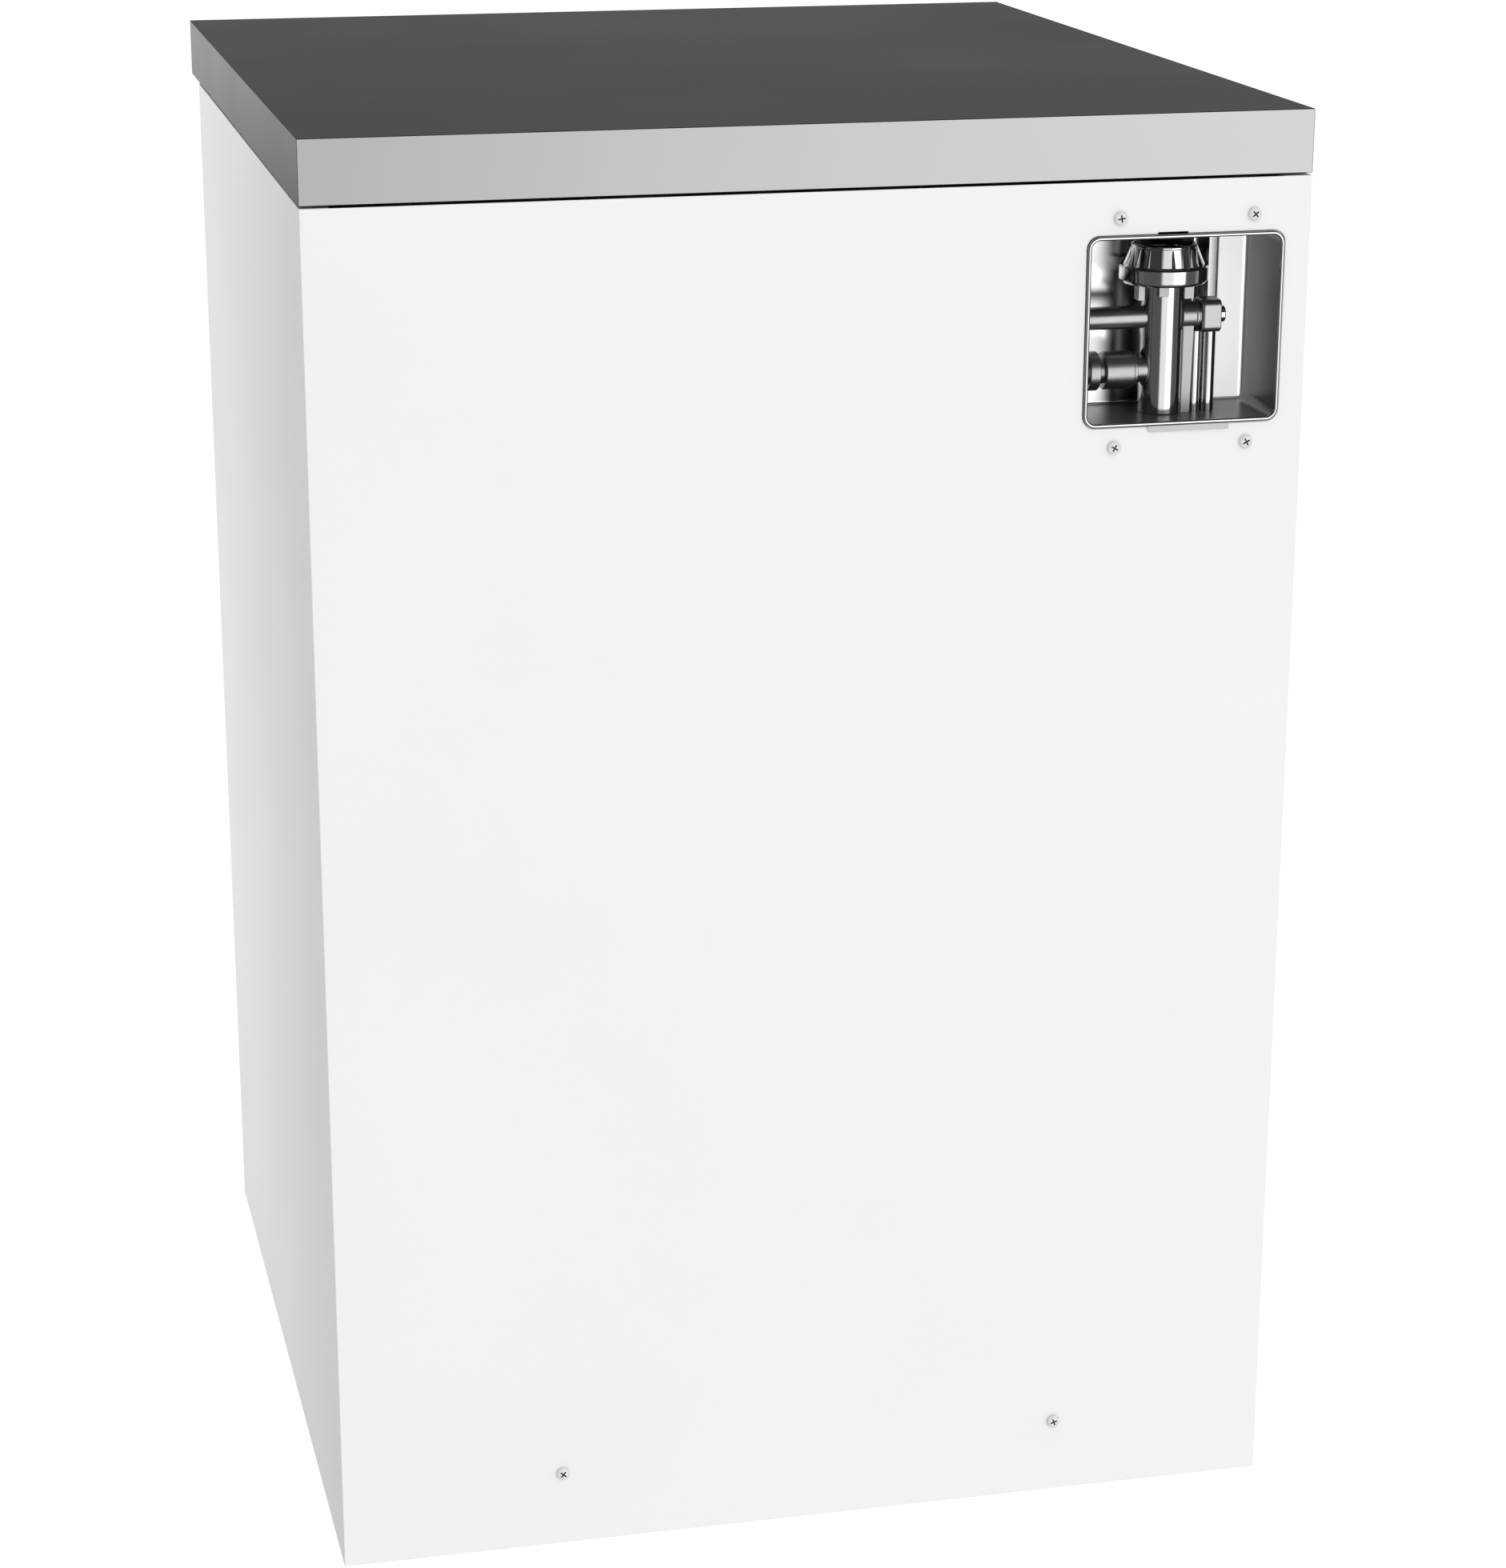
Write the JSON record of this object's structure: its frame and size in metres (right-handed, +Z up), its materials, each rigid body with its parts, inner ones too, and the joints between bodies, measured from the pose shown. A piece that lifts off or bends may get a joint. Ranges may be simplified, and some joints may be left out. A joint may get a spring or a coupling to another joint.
{
  "type": "portable dishwasher",
  "caption": "Rolling dishwasher: white steel cabinet with overhanging grey worktop, drop-down door, and a rear recess that stows a quick-connect tap coupler.",
  "frame": {"origin": "on the floor, under the middle of the machine's bounding box", "axes": "+Z up; -Y is the side with the door, +Y the rear panel with the coupler recess; +X is the left side seen from behind"},
  "size_m": [0.6286, 0.681, 0.9461],
  "materials": {
    "white_paint": "satin white enamel",
    "worktop": "satin grey laminate over board",
    "white_plastic": "smooth white",
    "grey_plastic": "light grey moulded",
    "tub_lining": "light grey smooth",
    "zinc_steel": "zinc plated",
    "caster_rubber": "hard black tread",
    "black_rubber": "smooth black",
    "stainless": "plain stainless",
    "recess_moulding": "dark metallic grey, glossy",
    "coupler_finish": "dark metallic grey, glossy",
    "rack_coating": "grey coated wire",
    "blue_plastic": "blue-grey moulded",
    "black_plastic": "black moulded"
  },
  "bodies": {
    "cabinet": {"countertop": "worktop", "rear_panel": "white_paint", "side_panel_left": "white_paint", "side_panel_right": "white_paint", "toe_kick": "white_paint", "base_frame": "zinc_steel", "tub": "tub_lining", "door_seal": "black_rubber", "sump": "grey_plastic", "filter_basket": "stainless", "heating_element": "stainless", "wash_motor": "zinc_steel", "pump_housing": "grey_plastic", "drain_pump": "black_plastic", "inlet_valve": "grey_plastic", "fill_hose": "black_rubber", "drain_hose": "black_rubber", "recess_box": "recess_moulding", "recess_strip": "white_plastic", "coupler_body": "coupler_finish", "hose_connector": "coupler_finish", "release_valve": "coupler_finish", "recess_screw_1": "white_paint", "recess_screw_2": "white_paint", "recess_screw_3": "white_paint", "recess_screw_4": "white_paint", "rear_screw_left": "white_paint", "rear_screw_right": "white_paint", "door_spring_left": "stainless", "door_spring_right": "stainless"},
    "door": {"door_panel": "white_paint", "door_liner": "tub_lining", "control_panel": "white_plastic", "hinge_arm_left": "zinc_steel", "hinge_arm_right": "zinc_steel", "dispenser": "grey_plastic"},
    "latch": {"latch_handle": "grey_plastic"},
    "start_push": {"start_button": "grey_plastic"},
    "cycle_push": {"cycle_button": "grey_plastic"},
    "detergent_lid": {"dispenser_lid": "blue_plastic"},
    "rinse_aid": {"rinse_cap": "blue_plastic"},
    "lower_basket": {"lower_rack": "rack_coating", "cutlery_basket": "blue_plastic"},
    "upper_basket": {"upper_rack": "rack_coating"},
    "rails": {"rack_rail_left": "stainless", "rack_rail_right": "stainless"},
    "lower_spray": {"lower_spray_arm": "grey_plastic"},
    "upper_spray": {"upper_spray_arm": "grey_plastic"},
    "float": {"overfill_float": "grey_plastic"},
    "impeller": {"pump_impeller": "black_plastic"},
    "collar": {"coupler_collar": "coupler_finish"},
    "valve_button": {"pressure_button": "coupler_finish"},
    "caster_front_left": {"caster_fork_front_left": "zinc_steel"},
    "wheel_front_left": {"caster_wheel_front_left": "caster_rubber"},
    "caster_front_right": {"caster_fork_front_right": "zinc_steel"},
    "wheel_front_right": {"caster_wheel_front_right": "caster_rubber"},
    "caster_rear_left": {"caster_fork_rear_left": "zinc_steel"},
    "wheel_rear_left": {"caster_wheel_rear_left": "caster_rubber"},
    "caster_rear_right": {"caster_fork_rear_right": "zinc_steel"},
    "wheel_rear_right": {"caster_wheel_rear_right": "caster_rubber"}
  },
  "joints": [
    {"name": "door_hinge", "type": "hinge", "parent": "cabinet", "child": "door", "pos_m": [0, -0.3, 0.125], "axis": [1, 0, 0], "range_deg": [0, 90], "deforming": ["door_spring_left", "door_spring_right"]},
    {"name": "latch_pull", "type": "hinge", "parent": "door", "child": "latch", "pos_m": [0, -0.334, 0.878], "axis": [-1, 0, 0], "range_deg": [0, 20], "stiffness_Nm_per_rad": 3, "springref_deg": -5.73},
    {"name": "start_press", "type": "slide", "parent": "door", "child": "start_push", "axis": [0, 1, 0], "range_m": [0, 0.0025], "stiffness_N_per_m": 600, "springref_m": -0.001},
    {"name": "cycle_press", "type": "slide", "parent": "door", "child": "cycle_push", "axis": [0, 1, 0], "range_m": [0, 0.0025], "stiffness_N_per_m": 600, "springref_m": -0.001},
    {"name": "lid_hinge", "type": "hinge", "parent": "door", "child": "detergent_lid", "pos_m": [-0.035, -0.2917, 0.3712], "axis": [-1, 0, 0], "range_deg": [0, 95]},
    {"name": "rinse_cap_turn", "type": "hinge", "parent": "door", "child": "rinse_aid", "pos_m": [0.05, -0.2902, 0.41], "axis": [0, 1, 0], "range_deg": [0, 90]},
    {"name": "lower_rack_slide", "type": "slide", "parent": "cabinet", "child": "lower_basket", "axis": [0, -1, 0], "range_m": [0, 0.22]},
    {"name": "upper_rack_slide", "type": "slide", "parent": "cabinet", "child": "upper_basket", "axis": [0, -1, 0], "range_m": [0, 0.4]},
    {"name": "rail_slide", "type": "slide", "parent": "cabinet", "child": "rails", "axis": [0, -1, 0], "range_m": [0, 0.2]},
    {"name": "lower_spray_spin", "type": "hinge", "parent": "cabinet", "child": "lower_spray", "pos_m": [0, 0, 0.186], "axis": [0, 0, 1], "continuous": true},
    {"name": "upper_spray_spin", "type": "hinge", "parent": "upper_basket", "child": "upper_spray", "pos_m": [0, -0.01, 0.469], "axis": [0, 0, 1], "continuous": true},
    {"name": "float_lift", "type": "slide", "parent": "cabinet", "child": "float", "axis": [0, 0, 1], "range_m": [0, 0.01]},
    {"name": "impeller_spin", "type": "hinge", "parent": "cabinet", "child": "impeller", "pos_m": [0, 0, 0.091], "axis": [0, 0, 1], "continuous": true},
    {"name": "collar_pull", "type": "slide", "parent": "cabinet", "child": "collar", "axis": [0, 0, -1], "range_m": [0, 0.006], "stiffness_N_per_m": 1500, "springref_m": -0.002},
    {"name": "pressure_press", "type": "slide", "parent": "cabinet", "child": "valve_button", "axis": [1, 0, 0], "range_m": [0, 0.003], "stiffness_N_per_m": 800, "springref_m": -0.001},
    {"name": "swivel_front_left", "type": "hinge", "parent": "cabinet", "child": "caster_front_left", "pos_m": [0.24, -0.215, 0.066], "axis": [0, 0, 1], "continuous": true},
    {"name": "roll_front_left", "type": "hinge", "parent": "caster_front_left", "child": "wheel_front_left", "pos_m": [0.24, -0.197, 0.025], "axis": [1, 0, 0], "continuous": true},
    {"name": "swivel_front_right", "type": "hinge", "parent": "cabinet", "child": "caster_front_right", "pos_m": [-0.24, -0.215, 0.066], "axis": [0, 0, 1], "continuous": true},
    {"name": "roll_front_right", "type": "hinge", "parent": "caster_front_right", "child": "wheel_front_right", "pos_m": [-0.24, -0.197, 0.025], "axis": [1, 0, 0], "continuous": true},
    {"name": "swivel_rear_left", "type": "hinge", "parent": "cabinet", "child": "caster_rear_left", "pos_m": [0.24, 0.225, 0.066], "axis": [0, 0, 1], "continuous": true},
    {"name": "roll_rear_left", "type": "hinge", "parent": "caster_rear_left", "child": "wheel_rear_left", "pos_m": [0.24, 0.243, 0.025], "axis": [1, 0, 0], "continuous": true},
    {"name": "swivel_rear_right", "type": "hinge", "parent": "cabinet", "child": "caster_rear_right", "pos_m": [-0.24, 0.225, 0.066], "axis": [0, 0, 1], "continuous": true},
    {"name": "roll_rear_right", "type": "hinge", "parent": "caster_rear_right", "child": "wheel_rear_right", "pos_m": [-0.24, 0.243, 0.025], "axis": [1, 0, 0], "continuous": true}
  ],
  "couplings": [
    {"joint": "lower_rack_slide", "follows": "door_hinge", "m_per_rad": 0.13999},
    {"joint": "upper_rack_slide", "follows": "door_hinge", "m_per_rad": 0.25458},
    {"joint": "rail_slide", "follows": "door_hinge", "m_per_rad": 0.12726}
  ]
}
